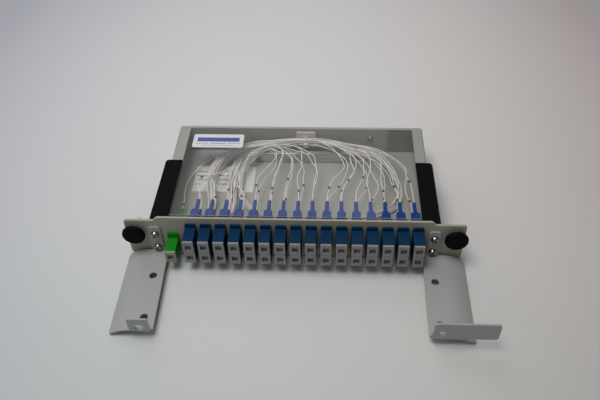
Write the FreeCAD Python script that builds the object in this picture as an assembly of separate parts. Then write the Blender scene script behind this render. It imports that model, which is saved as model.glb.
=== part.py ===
import FreeCAD, Part
import math, os
from FreeCAD import Vector as V

# ---------------------------------------------------------------------------
# 1 x 32 fibre splitter drawer: a one-unit front panel with sixteen SC duplex
# adapters and one SC simplex adapter, a folded sheet tray behind it with a
# clear cover, two sliding guides, two patch-cord brackets, two push-pull
# latches, and inside the tray the splitter module with its 900 micron fibres.
#
# Work frame: X right along the panel, Y into the tray, Z up, millimetres.
# Y = 0 is the panel's front face, Z = 0 the panel's lower edge, X = 0 its
# middle. Everything is moved by ORIGIN at export, so that the row's origin is
# the bottom centre of the whole unit.
# ---------------------------------------------------------------------------

# front panel
PANEL_W = 284.0          # overall width
PANEL_H = 43.6           # height of the middle part, one rack unit
PANEL_END_H = 40.0       # height of the two ends
PANEL_T = 2.0
PANEL_STEP_X = 113.5     # half width of the raised middle part
PANEL_CORNER_R = 2.5

# adapters
PITCH = 12.6             # between blue adapters
X_FIRST = -85.95         # centre of the first blue adapter
ADAPTER_W = 9.3
PORT_H = 13.0            # one port's share of the body height
PORT_DZ = 6.35           # half the distance between two ports
Z_MID = 21.35            # middle height of the blue adapters
ADAPTER_FRONT = -16.5
ADAPTER_REAR = 12.0
EAR_T = 1.8
EAR_HALF_H = 16.25       # flange half height, blue
X_GREEN = -102.4
GREEN_EAR_HALF_H = 11.3
PORT_W_IN = 7.5          # port opening
PORT_H_IN = 9.1
PLUG_FACE_T = 1.8        # dust plug face

# rear connectors
CONN_W = 7.3
CONN_H = 8.9
CONN_FRONT = 4.0
CONN_REAR = 24.6         # end of the housing, where the boot's flared root starts
SHOULDER_Y = 21.6
BOOT_END = 38.0
FIBRE_D = 0.9

# tray
SHEET = 1.2
TRAY_X = 117.8           # outer half width
TRAY_Z0 = 3.8            # underside
TRAY_Z1 = 33.0           # top of the return flanges
TRAY_Y1 = 133.8          # outer rear face
LIP_X = 107.65           # inner edge of the return flanges
COVER_T = 1.5

# patch-cord brackets
BR_T = 1.5
BR_TOP = 6.0             # top of the flat part
BR_DROP = 6.5            # fall of the curved part
BR_BEND_R = 0.5          # inside radius of the bends
BR_FRONT = -83.2         # where the front tab is bent up
BR_EDGE = -84.4          # front edge of the plate outside the tab
BR_FL_X0, BR_FL_X1, BR_FL_TOP = 112.2, 122.2, 33.6
SCREW_X = 117.1
SCREW_Z = (9.9, 25.8)
BR_HOLE_R = 3.25

# latches
LATCH_X = 134.7
LATCH_Z = 26.5
KNOB_R = 9.75

# splitter module
MOD_X0, MOD_X1 = -38.5, 40.5
MOD_Y0, MOD_Y1 = 114.7, 119.3
MOD_Z0, MOD_Z1 = 5.5, 16.6
MOD_BOOT = 6.0
LANE = 1.12              # pitch of the fibres in a bundle

ORIGIN = V(-6.975, -25.65, 2.0)

os.makedirs("parts", exist_ok=True)
NODES = {}


def put(name, shape):
    NODES[name] = shape


def box(x0, x1, y0, y1, z0, z1):
    return Part.makeBox(x1 - x0, y1 - y0, z1 - z0, V(x0, y0, z0))


def cyl_y(x, z, r, y0, y1):
    return Part.makeCylinder(r, y1 - y0, V(x, y0, z), V(0, 1, 0))


def cone_y(x, z, r0, r1, y0, y1):
    return Part.makeCone(r0, r1, y1 - y0, V(x, y0, z), V(0, 1, 0))


def edges_along(shape, axis, keep=lambda c: True):
    out = []
    for e in shape.Edges:
        if len(e.Vertexes) != 2 or e.Curve.TypeId != "Part::GeomLine":
            continue
        d = e.Vertexes[1].Point - e.Vertexes[0].Point
        if d.Length < 1e-6:
            continue
        d.normalize()
        if abs(abs(d[axis]) - 1) < 1e-6 and keep(e.CenterOfMass):
            out.append(e)
    return out


def mirror_x(shape):
    return shape.mirror(V(0, 0, 0), V(1, 0, 0))


def revolve_y(x, z, profile):
    """profile: (radius, y) points of a closed outline that may touch the axis"""
    pts = [V(x + r, y, z) for r, y in profile]
    w = Part.makePolygon(pts + [pts[0]])
    return Part.Face(w).revolve(V(x, 0, z), V(0, 1, 0), 360)


# --------------------------------------------------------------- front panel
hw = PANEL_W / 2
outline = [V(-hw, 0, 0), V(hw, 0, 0), V(hw, 0, PANEL_END_H),
           V(PANEL_STEP_X + (PANEL_H - PANEL_END_H), 0, PANEL_END_H), V(PANEL_STEP_X, 0, PANEL_H),
           V(-PANEL_STEP_X, 0, PANEL_H), V(-PANEL_STEP_X - (PANEL_H - PANEL_END_H), 0, PANEL_END_H),
           V(-hw, 0, PANEL_END_H)]
panel = Part.Face(Part.makePolygon(outline + [outline[0]])).extrude(V(0, PANEL_T, 0))
panel = panel.makeFillet(PANEL_CORNER_R, edges_along(panel, 1, lambda c: abs(abs(c.x) - hw) < 0.01))
cuts = []
blue_x = [X_FIRST + PITCH * k for k in range(16)]
for x in blue_x:
    cuts.append(box(x - 4.75, x + 4.75, -1, 4, Z_MID - 13.15, Z_MID + 13.15))
cuts.append(box(X_GREEN - 4.75, X_GREEN + 4.75, -1, 4, Z_MID - PORT_DZ - 6.65, Z_MID - PORT_DZ + 6.65))
for s in (-1, 1):
    cuts.append(cyl_y(s * LATCH_X, LATCH_Z, 3.5, -1, 4))
    for z in SCREW_Z:
        cuts.append(cyl_y(s * SCREW_X, z, 2.25, -1, 4))
panel = panel.cut(Part.makeCompound(cuts))
put("front_panel", panel)

# ---------------------------------------------------------------------- tray
outer = box(-TRAY_X, TRAY_X, 3.2, TRAY_Y1, TRAY_Z0, TRAY_Z1)
outer = outer.makeFillet(2.0, edges_along(outer, 1))
inner = box(-TRAY_X + SHEET, TRAY_X - SHEET, 1.0, TRAY_Y1 - SHEET, TRAY_Z0 + SHEET, TRAY_Z1 - SHEET)
inner = inner.makeFillet(0.8, edges_along(inner, 1))
tray = outer.cut(inner)
tray = tray.cut(box(-LIP_X, LIP_X, 0, TRAY_Y1 - SHEET, TRAY_Z1 - 3, TRAY_Z1 + 1))
for s in (-1, 1):
    x0, x1 = sorted((s * 106.0, s * 125.0))
    tray = tray.cut(box(x0, x1, 0, 9.0, TRAY_Z0 + 2.4, TRAY_Z1 + 1))        # front corner relief
    tray = tray.cut(box(x0, x1, 0, 13.0, TRAY_Z1 - SHEET - 0.9, TRAY_Z1 + 1))  # flanges start behind the adapters
    x0, x1 = sorted((s * 114.6, s * 125.0))
    tray = tray.cut(box(x0, x1, 0, 9.0, 0, TRAY_Z1 + 1))
front = box(-114.6, 114.6, 2.0, 3.2, TRAY_Z0, TRAY_Z1)
ears = box(-122.5, 122.5, 2.0, 3.2, 5.0, TRAY_Z1)
front = front.fuse(ears)
front = front.cut(box(-109.0, 109.4, 1, 4, 7.4, TRAY_Z1 + 1))
tray = tray.fuse(front).removeSplitter()
holes = []
for s in (-1, 1):
    for z in SCREW_Z:
        holes.append(cyl_y(s * SCREW_X, z, 2.25, 1, 5))
for s in (-1, 1):
    holes.append(cyl_y(s * 68.2, 21.9, 1.6, TRAY_Y1 - 3, TRAY_Y1 + 1))
tray = tray.cut(Part.makeCompound(holes))
put("tray", tray)

# --------------------------------------------------------------- clear cover
cover = box(-117.4, 117.4, 12.6, 134.0, TRAY_Z1, TRAY_Z1 + COVER_T)
cover = cover.makeFillet(1.5, edges_along(cover, 2))
put("clear_cover", cover)

lab = box(-101.8, -53.3, 101.3, 120.9, TRAY_Z1 + COVER_T, TRAY_Z1 + COVER_T + 0.2)
put("cover_label", lab.makeFillet(2.5, edges_along(lab, 2)))
put("floor_label", box(-101.0, -42.9, 71.8, 107.5, TRAY_Z0 + SHEET, TRAY_Z0 + SHEET + 0.2))

# -------------------------------------------------------------- slide guides
top = box(106.9, 121.8, 3.6, 81.0, 34.5, 37.0)
side = box(117.8, 121.8, 9.2, 81.0, 10.0, 37.0)
guide = top.fuse(side).removeSplitter()
guide = guide.makeFillet(3.5, edges_along(guide, 2, lambda c: c.y > 80 and c.x > 120))
guide = guide.makeFillet(1.0, [e for e in guide.Edges if abs(e.BoundBox.ZMin - 37.0) < 1e-3 and e.BoundBox.XMax > 107.5 and not (abs(e.BoundBox.YMax - 3.6) < 1e-3)])
put("right_slide_guide", guide)
put("left_slide_guide", mirror_x(guide))


# ------------------------------------------------------------------ brackets
def bracket(rear, front, tab_x, tab_top, tab_end, tab_hole, holes):
    """right-hand bracket, one bent sheet given as its flange, its plate and its front tab, which meet face to face
    rear, front: the plate's inner edge, start of the curve and outer edge at its two ends"""
    z0 = BR_TOP - BR_T
    ro = BR_T + BR_BEND_R

    # flange against the panel, with the bend below it
    bend = box(BR_FL_X0, BR_FL_X1, -ro, 0, z0, z0 + ro)
    bend = bend.cut(Part.makeCylinder(BR_BEND_R, 60, V(100, -ro, z0 + ro), V(1, 0, 0)))
    bend = bend.makeFillet(ro - 0.001, edges_along(bend, 0, lambda c: abs(c.y) < 1e-6 and abs(c.z - z0) < 1e-6))
    fl = box(BR_FL_X0, BR_FL_X1, -BR_T, 0, z0 + ro, BR_FL_TOP)
    fl = fl.makeFillet(2.5, edges_along(fl, 1, lambda c: abs(c.z - BR_FL_TOP) < 0.01))
    fl = fl.fuse(bend).removeSplitter()
    fl = fl.cut(Part.makeCompound([cyl_y(SCREW_X, z, 2.25, -4, 1) for z in SCREW_Z]))

    # plate: flat, then an arc falling outwards
    def section(y, inner, flat, outer):
        run = outer - flat
        for _ in range(30):
            R = (run ** 2 + BR_DROP ** 2) / (2 * BR_DROP)
            run -= flat + (R + BR_T) * run / R - outer
        cz, a, rt = z0 - R, math.asin(run / R), R + BR_T

        def arc_pt(r, t):
            return V(flat + r * math.sin(t), y, cz + r * math.cos(t))
        e = [Part.LineSegment(V(inner, y, z0), V(flat, y, z0)),
             Part.Arc(arc_pt(R, 0), arc_pt(R, a / 2), arc_pt(R, a)),
             Part.LineSegment(arc_pt(R, a), arc_pt(rt, a)),
             Part.Arc(arc_pt(rt, a), arc_pt(rt, a / 2), arc_pt(rt, 0)),
             Part.LineSegment(V(flat, y, z0 + BR_T), V(inner, y, z0 + BR_T)),
             Part.LineSegment(V(inner, y, z0 + BR_T), V(inner, y, z0))]
        return Part.Wire([k.toShape() for k in e])
    plate = Part.makeLoft([section(-ro, *rear), section(BR_EDGE, *front)], True, True)
    plate = plate.cut(box(0, tab_x[1] + 0.6, BR_EDGE - 1, BR_FRONT, -10, 20))
    # rounded outer corners of the plate, seen from above
    for yy, d, xo, r in ((-ro, -1, rear[2], 5.0), (BR_EDGE, 1, front[2], 2.5)):
        y0, y1 = sorted((yy - d * 0.4, yy + d * r))
        bx = box(xo - r, xo + 4, y0, y1, -30, 30)
        plate = plate.cut(bx.cut(Part.makeCylinder(r, 60, V(xo - r, yy + d * r, -30))))
    plate = plate.cut(Part.makeCompound([Part.makeCylinder(BR_HOLE_R, 6, V(xh, yh, 2), V(0, 0, 1)) for xh, yh in holes]))

    # front tab, bent up from the flat part
    x0, x1, yb = tab_x[0], tab_x[1], BR_FRONT
    tb = box(x0, x1, yb - ro, yb, z0, z0 + ro)
    tb = tb.cut(Part.makeCylinder(BR_BEND_R, 60, V(x0 - 5, yb, z0 + ro), V(1, 0, 0)))
    tb = tb.makeFillet(ro - 0.001, edges_along(tb, 0, lambda c: abs(c.y - (yb - ro)) < 1e-6 and abs(c.z - z0) < 1e-6))
    tab = box(x0, x1, yb - ro, yb - ro + BR_T, z0 + ro, tab_top)
    if tab_end > x1:
        tab = tab.fuse(box(x1 - 0.01, tab_end, yb - ro, yb - ro + BR_T, z0 + ro, tab_top)).removeSplitter()
        tab = tab.makeFillet(3.0, edges_along(tab, 1, lambda c: c.x > 140 or c.z > 15))
    else:
        tab = tab.makeFillet(1.5, edges_along(tab, 1, lambda c: c.z > 15))
    tab = tab.fuse(tb).removeSplitter()
    tab = tab.cut(cyl_y(tab_hole[0], tab_hole[1], tab_hole[2], yb - 4, yb + 1))
    return fl, plate, tab


RIGHT = bracket((109.0, 126.0, 144.9), (107.4, 125.0, 143.7), (109.3, 125.0), 25.0, 158.4, (116.0, 12.6, 3.0), [(117.0, -31.0), (116.8, -72.6)])
LEFT = bracket((108.8, 126.0, 143.9), (105.6, 123.6, 142.0), (107.2, 123.6), 21.0, 0, (115.2, 10.6, 3.6), [(116.4, -30.5), (115.0, -72.2)])
for part_name, r_shape, l_shape in zip(("flange", "plate", "tab"), RIGHT, LEFT):
    put("right_bracket_" + part_name, r_shape)
    put("left_bracket_" + part_name, mirror_x(l_shape))

# bracket screws, washers and nuts
screws, washers, nuts = [], [], []
for s in (-1, 1):
    for z in SCREW_Z:
        x = s * SCREW_X
        head = revolve_y(x, z, [(0, -5.0), (1.9, -4.85), (2.85, -4.2), (3.3, -3.2), (3.3, -2.3), (2.0, -2.3), (2.0, 7.6), (0, 7.6)])
        cr = Part.makeBox(3.8, 1.5, 0.9, V(x - 1.9, -5.2, z - 0.45)).fuse(Part.makeBox(0.9, 1.5, 3.8, V(x - 0.45, -5.2, z - 1.9)))
        cr.rotate(V(x, 0, z), V(0, 1, 0), 38 if s < 0 else 20)
        screws.append(head.cut(cr))
        wsh = cyl_y(x, z, 3.38, -2.3, -1.5).cut(cyl_y(x, z, 2.15, -3, 0))
        washers.append(wsh)
        hexa = Part.Face(Part.makePolygon([V(x + 4.04 * math.cos(math.radians(60 * i + 30)), 3.2, z + 4.04 * math.sin(math.radians(60 * i + 30))) for i in range(7)]))
        nuts.append(hexa.extrude(V(0, 3.2, 0)).cut(cyl_y(x, z, 2.1, 3, 7)))
put("bracket_screws", Part.makeCompound(screws))
put("bracket_washers_nuts", Part.makeCompound(washers + nuts))

# rear wall screws, with their nuts behind the wall
rs, rn = [], []
for s in (-1, 1):
    x, z, yw = s * 68.2, 21.9, TRAY_Y1 - SHEET
    sc = revolve_y(x, z, [(0, yw - 2.2), (1.6, yw - 2.1), (2.6, yw - 1.4), (2.9, yw - 0.6), (2.9, yw), (1.45, yw), (1.45, yw + 3.9), (0, yw + 3.9)])
    sc = sc.cut(Part.makeBox(2.8, 1.2, 0.7, V(x - 1.4, yw - 2.5, z - 0.35)).fuse(Part.makeBox(0.7, 1.2, 2.8, V(x - 0.35, yw - 2.5, z - 1.4))))
    rs.append(sc)
    hexa = Part.Face(Part.makePolygon([V(x + 3.175 * math.cos(math.radians(60 * i)), TRAY_Y1, z + 3.175 * math.sin(math.radians(60 * i))) for i in range(7)]))
    rn.append(hexa.extrude(V(0, 2.4, 0)).cut(cyl_y(x, z, 1.52, TRAY_Y1 - 1, TRAY_Y1 + 4)))
put("rear_wall_screws_nuts", Part.makeCompound(rs + rn))


# ------------------------------------------------------------------- latches
def latch(s):
    x, z = s * LATCH_X, LATCH_Z
    g = revolve_y(x, z, [(2.06, -1.3), (5.6, -1.3), (5.6, 0.0), (3.45, 0.0), (3.45, 12.6), (2.95, 14.0), (2.06, 14.0)])
    # two slots make the legs that spread when the knob is pushed home
    g = g.cut(Part.makeBox(9, 12.5, 1.1, V(x - 4.5, 3.2, z - 0.55)))
    # plunger: knob, neck and pin
    p = revolve_y(x, z, [(0, -6.4), (7.6, -6.4), (8.9, -6.0), (9.55, -5.2), (KNOB_R, -4.3), (KNOB_R, -3.2), (9.3, -2.3), (8.6, -1.9), (4.2, -1.9), (4.0, -1.4), (2.0, -1.4), (2.0, 12.6), (1.5, 13.4), (0, 13.4)])
    return g, p


for side, s in (("left", -1), ("right", 1)):
    g, p = latch(s)
    put(side + "_latch_grommet", g)
    put(side + "_latch_plunger", p)

# ------------------------------------------------------------------ adapters
ZU, ZL = Z_MID + PORT_DZ, Z_MID - PORT_DZ


def adapter(x, zs, z_mid, half_h, ear):
    b = box(x - ADAPTER_W / 2, x + ADAPTER_W / 2, ADAPTER_FRONT, ADAPTER_REAR, z_mid - half_h, z_mid + half_h)
    b = b.makeFillet(0.4, edges_along(b, 1))
    e = box(x - ADAPTER_W / 2, x + ADAPTER_W / 2, -EAR_T, 0, z_mid - ear, z_mid + ear)
    e = e.makeFillet(1.5, edges_along(e, 1))
    b = b.fuse(e)
    # snap wedges behind the panel
    for s in (-1, 1):
        pts = [V(x + s * ADAPTER_W / 2, 2.05, z_mid - 3), V(x + s * (ADAPTER_W / 2 + 0.55), 2.05, z_mid - 3), V(x + s * ADAPTER_W / 2, 4.6, z_mid - 3)]
        b = b.fuse(Part.Face(Part.makePolygon(pts + [pts[0]])).extrude(V(0, 0, 6)))
    b = b.removeSplitter()
    cut = []
    for z in zs:
        cut.append(box(x - PORT_W_IN / 2, x + PORT_W_IN / 2, ADAPTER_FRONT - 1, -1.0, z - PORT_H_IN / 2, z + PORT_H_IN / 2).cut(cyl_y(x, z, 2.4, -6.5, 0)))
        cut.append(box(x - PORT_W_IN / 2, x + PORT_W_IN / 2, 1.0, ADAPTER_REAR + 1, z - PORT_H_IN / 2, z + PORT_H_IN / 2).cut(cyl_y(x, z, 2.4, 0, 6.5)))
        cut.append(cyl_y(x, z, 1.65, -7, 7))
        # key slot on the right-hand wall of each port
        cut.append(box(x + PORT_W_IN / 2 - 0.1, x + PORT_W_IN / 2 + 0.45, ADAPTER_FRONT - 1, -6.0, z - 1.3, z + 1.3))
        cut.append(box(x + PORT_W_IN / 2 - 0.1, x + PORT_W_IN / 2 + 0.45, 6.0, ADAPTER_REAR + 1, z - 1.3, z + 1.3))
    return b.cut(Part.makeCompound(cut))


def dust_plug(x, z):
    f = box(x - 4.5, x + 4.5, ADAPTER_FRONT - PLUG_FACE_T, ADAPTER_FRONT, z - 6.25, z + 6.25)
    f = f.makeFillet(0.6, edges_along(f, 1))
    f = f.makeFillet(0.3, [e for e in f.Edges if abs(e.BoundBox.YMax - (ADAPTER_FRONT - PLUG_FACE_T)) < 1e-4])
    st = box(x - 3.65, x + 3.65, ADAPTER_FRONT, -8.0, z - 4.45, z + 4.45)
    st = st.makeFillet(0.5, edges_along(st, 1))
    p = f.fuse(st).removeSplitter()
    p = p.cut(box(x - 2.6, x + 2.6, ADAPTER_FRONT - PLUG_FACE_T - 1, ADAPTER_FRONT - PLUG_FACE_T + 3.0, z - 2.9, z + 2.9))
    return p.cut(cyl_y(x, z, 2.6, -12.0, -7.0))


def rounded(x, y, z, w, h, r):
    """rounded rectangle across Y"""
    a, b, k = w / 2, h / 2, r * (1 - math.sqrt(0.5))
    e = []
    for sx, sz, flip in ((1, 1, 0), (-1, 1, 1), (-1, -1, 0), (1, -1, 1)):
        p = [V(x + sx * a, y, z + sz * (b - r)), V(x + sx * (a - k), y, z + sz * (b - k)), V(x + sx * (a - r), y, z + sz * b)]
        if flip:
            p.reverse()
        if e:
            e.append(Part.LineSegment(last, p[0]).toShape())
        else:
            first = p[0]
        e.append(Part.Arc(*p).toShape())
        last = p[2]
    e.append(Part.LineSegment(last, first).toShape())
    return Part.Wire(e)


def connector(x, z):
    # straight housing, then shoulders sloping in to the boot
    c = Part.Face(rounded(x, CONN_FRONT, z, CONN_W, CONN_H, 0.6)).extrude(V(0, SHOULDER_Y - CONN_FRONT, 0))
    c = c.fuse(Part.makeLoft([rounded(x, SHOULDER_Y, z, CONN_W, CONN_H, 0.6), rounded(x, CONN_REAR, z, 5.2, 6.0, 1.6)], True, True))
    for s in (-1, 1):
        for k in range(4):
            y = 14.4 + 1.8 * k
            x0, x1 = sorted((x + s * (CONN_W / 2 - 0.35), x + s * (CONN_W / 2 + 1)))
            c = c.cut(box(x0, x1, y, y + 0.8, z - 2.6, z + 2.6))
    c = c.fuse(box(x + CONN_W / 2 - 0.05, x + CONN_W / 2 + 0.35, 6.6, 12.6, z - 1.05, z + 1.05)).removeSplitter()
    c = c.cut(cyl_y(x, z, 2.7, CONN_FRONT - 1, 12.5))
    return c.cut(cyl_y(x, z, 1.28, 12.0, 18.0))


def boot(x, z):
    return revolve_y(x, z, [(0, CONN_REAR), (2.45, CONN_REAR), (2.45, CONN_REAR + 0.6), (1.95, CONN_REAR + 2.4), (1.8, CONN_REAR + 3.0),
                            (1.65, BOOT_END - 0.9), (1.4, BOOT_END - 0.3), (1.0, BOOT_END), (0, BOOT_END)])


def ferrule(x, z):
    f = revolve_y(x, z, [(0, 0.2), (0.9, 0.2), (1.25, 0.6), (1.25, 18.0), (0, 18.0)])
    return f


def sleeve(x, z):
    s = cyl_y(x, z, 1.6, -5.7, 5.7).cut(cyl_y(x, z, 1.28, -6, 6))
    return s.cut(box(x - 0.25, x + 0.25, -6, 6, z + 0.8, z + 2))


for k, x in enumerate(blue_x):
    put("blue_adapter_%02d" % (k + 1), adapter(x, (ZU, ZL), Z_MID, 13.05, EAR_HALF_H))
put("green_adapter", adapter(X_GREEN, (ZL,), ZL, 6.5, GREEN_EAR_HALF_H))
put("dust_plugs_upper", Part.makeCompound([dust_plug(x, ZU) for x in blue_x]))
put("dust_plugs_lower", Part.makeCompound([dust_plug(x, ZL) for x in blue_x]))
put("green_dust_plug", dust_plug(X_GREEN, ZL))
put("rear_connectors_upper", Part.makeCompound([connector(x, ZU) for x in blue_x]))
put("rear_connectors_lower", Part.makeCompound([connector(x, ZL) for x in blue_x]))
put("green_rear_connector", connector(X_GREEN, ZL))
put("boots_upper", Part.makeCompound([boot(x, ZU) for x in blue_x]))
put("boots_lower", Part.makeCompound([boot(x, ZL) for x in blue_x]))
put("green_boot", boot(X_GREEN, ZL))
ports = [(x, z) for z in (ZU, ZL) for x in blue_x] + [(X_GREEN, ZL)]
put("ferrules", Part.makeCompound([ferrule(x, z) for x, z in ports]))
put("alignment_sleeves", Part.makeCompound([sleeve(x, z) for x, z in ports]))

# ------------------------------------------------------------ splitter module
mod = box(MOD_X0, MOD_X1, MOD_Y0, MOD_Y1, MOD_Z0, MOD_Z1)
mod = mod.makeFillet(0.5, edges_along(mod, 0))
put("splitter_module", mod)
put("module_tape", box(MOD_X0 + 3, MOD_X1 - 3, MOD_Y0 + 0.6, MOD_Y1 - 0.6, TRAY_Z0 + SHEET, MOD_Z0))
fan = box(MOD_X0 - MOD_BOOT, MOD_X0, MOD_Y0 - 0.1, MOD_Y1 + 0.1, MOD_Z0 + 0.2, MOD_Z1 - 1.7)
fan = fan.makeFillet(0.6, edges_along(fan, 0))
inb = box(MOD_X1, MOD_X1 + MOD_BOOT, 117.0 - 1.9, 117.0 + 1.9, 9.9 - 1.9, 9.9 + 1.9)
inb = inb.makeFillet(0.8, edges_along(inb, 0))
put("module_fanout_boot", fan)
put("module_input_boot", inb)

# ------------------------------------------------------- tie base and its tie
TIE_X, TIE_Z = 5.3, 21.1
base = box(-4.2, 14.8, 130.4, TRAY_Y1 - SHEET, 10.6, 29.6)
base = base.makeFillet(1.0, edges_along(base, 1))
base = base.fuse(box(TIE_X - 4.5, TIE_X + 4.5, 130.0, 130.4, 16.2, 26.0)).removeSplitter()
put("tie_base", base)
ring = box(TIE_X - 1.25, TIE_X + 1.25, 124.2, 130.0, TIE_Z - 4.45, TIE_Z + 4.45)
ring = ring.makeFillet(1.2, edges_along(ring, 0))
hole = box(TIE_X - 3, TIE_X + 3, 124.9, 129.6, TIE_Z - 3.65, TIE_Z + 3.65)
hole = hole.makeFillet(0.3, edges_along(hole, 0))
ring = ring.cut(hole)
head = box(TIE_X - 2.1, TIE_X + 2.1, 121.0, 124.4, TIE_Z - 2.4, TIE_Z + 1.6)
put("cable_tie", ring.fuse(head).removeSplitter())

# -------------------------------------------------------------------- fibres
X_EXIT = MOD_X0 - MOD_BOOT
# centre line of the main bundle: out of the module's left end, down the left
# of the tray, a turn under the front connectors, up again and back along the
# rear wall, through the tie, to the right
MAIN = [(X_EXIT, 117.0, 0), (-50.4, 117.0, 0), (-56.0, 113.0, 0), (-59.0, 105.0, 0), (-60.6, 94.5, 0), (-61.2, 83.0, 0), (-61.0, 71.5, 0),
        (-60.0, 60.5, 0), (-58.8, 50.0, 0), (-58.6, 39.8, 0), (-62.6, 30.8, 0), (-70.6, 28.2, 0), (-77.4, 33.8, 0), (-78.2, 43.6, 0),
        (-77.8, 54.6, 0), (-80.0, 66.6, 0.2), (-82.8, 78.6, 0.8), (-83.2, 90.8, 2.2), (-79.0, 102.2, 4.2), (-71.2, 111.4, 6.4),
        (-61.0, 118.6, 8.4), (-49.4, 123.4, 10.2), (-36.6, 126.2, 11.4), (-22.4, 127.2, 12.0), (-8.0, 127.5, 12.1), (5.3, 127.3, 12.1),
        (19.5, 127.0, 12.1), (33.5, 125.0, 12.1), (47.0, 121.2, 11.6), (60.4, 116.0, 10.6)]
# the outer strands go on round the right, under the front connectors and up
# the left again, to end as the fan in front of the module
LOOP = [(72.4, 109.6, 8.6), (82.2, 100.2, 6.2), (88.4, 88.6, 3.6), (91.0, 75.8, 1.4), (90.4, 63.0, 0.2), (85.0, 52.2, 0), (76.0, 43.4, 0),
        (64.6, 37.0, 0), (51.4, 33.0, 0), (37.4, 31.0, 0), (23.4, 31.2, 0), (9.4, 30.6, 0), (-4.6, 31.2, 0), (-18.4, 33.2, 0), (-31.0, 38.0, 0),
        (-41.4, 46.2, 0), (-48.6, 57.2, 0.8), (-52.4, 69.8, 2.4), (-53.4, 82.6, 4.6), (-51.4, 95.0, 7.0), (-46.0, 105.8, 9.4), (-37.4, 113.6, 11.4),
        (-27.0, 118.0, 12.4), (-16.0, 118.8, 12.8), (-5.2, 117.6, 12.8)]
# left half, leaving the same end above the main bundle
SIDE = [(X_EXIT, 117.0), (-50.4, 117.0), (-56.0, 113.0), (-59.0, 105.0), (-60.6, 94.5), (-61.2, 83.0), (-61.0, 71.5)]
# column: (lane from the inner side, levels of its upper and lower strand, points shared with the line, lead, its own points)
DROPS = {
    1: (-1.5, (1, 0), 4, 6.0, [(-62.8, 95.8), (-69.0, 87.4), (-76.8, 79.6), (-83.0, 70.0), (-85.6, 59.4)]),
    2: (-0.5, (1, 0), 5, 8.0, [(-64.2, 84.6), (-69.4, 74.4), (-72.6, 63.0)]),
    3: (0.5, (1, 0), 6, 8.0, [(-62.2, 72.6), (-60.4, 62.0)]),
    4: (1.5, (1, 0), 6, 8.0, [(-57.6, 73.0), (-52.6, 62.4)]),
    5: (2, (5, 0), 52, 10.0, [(-28.8, 115.7), (-22.8, 109.4), (-24.4, 100.4), (-29.4, 90.0), (-33.6, 78.0), (-35.4, 65.0)]),
    6: (2, (4, 1), 53, 10.0, [(-18.6, 116.6), (-13.4, 109.0), (-14.0, 99.0), (-17.6, 87.8), (-21.4, 76.6), (-23.1, 64.6)]),
    7: (2, (3, 2), 53, 10.0, [(-17.2, 117.6), (-9.4, 112.4), (-5.8, 103.0), (-6.4, 91.6), (-9.0, 79.0), (-10.4, 65.2)]),
    8: (3, (3, 0), 54, 10.0, [(-6.4, 117.2), (0.6, 111.0), (4.0, 101.2), (4.4, 89.6), (3.2, 77.4), (2.5, 65.2)]),
    9: (3, (2, 1), 54, 10.0, [(-4.4, 118.6), (5.4, 113.8), (11.6, 104.6), (14.8, 93.0), (15.8, 80.2), (15.3, 66.4)]),
    10: (0, (5, 0), 26, 12.0, [(17.0, 124.6), (27.6, 120.4), (36.4, 113.6), (43.0, 104.6), (44.6, 94.2), (40.4, 82.2), (33.4, 70.4), (28.8, 60.2)]),
    11: (0, (4, 1), 27, 12.0, [(31.0, 122.0), (41.6, 115.8), (49.8, 106.8), (53.8, 95.8), (53.2, 83.4), (47.2, 70.4), (42.0, 59.8)]),
    12: (0, (3, 2), 27, 12.0, [(34.8, 122.6), (46.4, 117.0), (55.6, 108.0), (60.8, 96.6), (61.8, 83.2), (58.4, 69.8), (54.2, 59.6)]),
    13: (1, (5, 0), 28, 12.0, [(46.4, 118.2), (57.0, 110.8), (65.2, 100.6), (69.4, 88.6), (69.8, 76.0), (67.2, 63.2)]),
    14: (1, (4, 1), 28, 12.0, [(49.2, 118.5), (61.0, 111.8), (71.2, 102.2), (77.0, 89.8), (79.0, 76.6), (78.6, 63.6)]),
    15: (1, (3, 2), 29, 12.0, [(60.8, 114.0), (71.8, 106.0), (80.2, 95.4), (85.8, 83.0), (89.0, 70.4), (90.4, 60.0)]),
    16: (3, (5, 4), 30, 12.0, [(72.8, 112.6), (83.6, 106.0), (92.2, 96.4), (98.2, 84.6), (101.6, 72.4), (102.9, 61.2)])}
INPUT = [(X_GREEN, BOOT_END, ZL), (X_GREEN, 50.0, ZL), (-105.0, 63.0, 13.2), (-105.6, 77.0, 11.2), (-102.6, 91.0, 9.4),
         (-97.4, 104.0, 8.4), (-89.0, 115.0, 8.0), (-77.0, 122.4, 7.6), (-62.0, 126.6, 7.2), (-45.0, 127.8, 7.0), (-27.0, 127.2, 7.2), (-9.0, 127.6, 7.0),
         (9.0, 127.0, 7.2), (26.0, 127.4, 7.6), (41.0, 126.8, 8.2), (50.5, 127.2, 8.8), (59.4, 124.8, 9.4), (63.8, 118.4, 9.8), (60.6, 112.2, 9.9), (53.6, 112.4, 9.9), (MOD_X1 + MOD_BOOT, 117.0, 9.9)]


def beside(pts, d):
    """the same line seen from above, moved to its left-hand side by d"""
    out = []
    for i, p in enumerate(pts):
        dirs = []
        for a, b in ((i - 1, i), (i, i + 1)):
            if a >= 0 and b < len(pts):
                L = math.hypot(pts[b][0] - pts[a][0], pts[b][1] - pts[a][1])
                dirs.append(((pts[b][0] - pts[a][0]) / L, (pts[b][1] - pts[a][1]) / L))
        if len(dirs) == 1:
            nx, ny, k = -dirs[0][1], dirs[0][0], 1.0
        else:
            nx, ny = -(dirs[0][1] + dirs[1][1]), dirs[0][0] + dirs[1][0]
            L = math.hypot(nx, ny)
            nx, ny = nx / L, ny / L
            k = 1 / (nx * -dirs[0][1] + ny * dirs[0][0])
        out.append((p[0] + nx * d * k, p[1] + ny * d * k))
    return out


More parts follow.
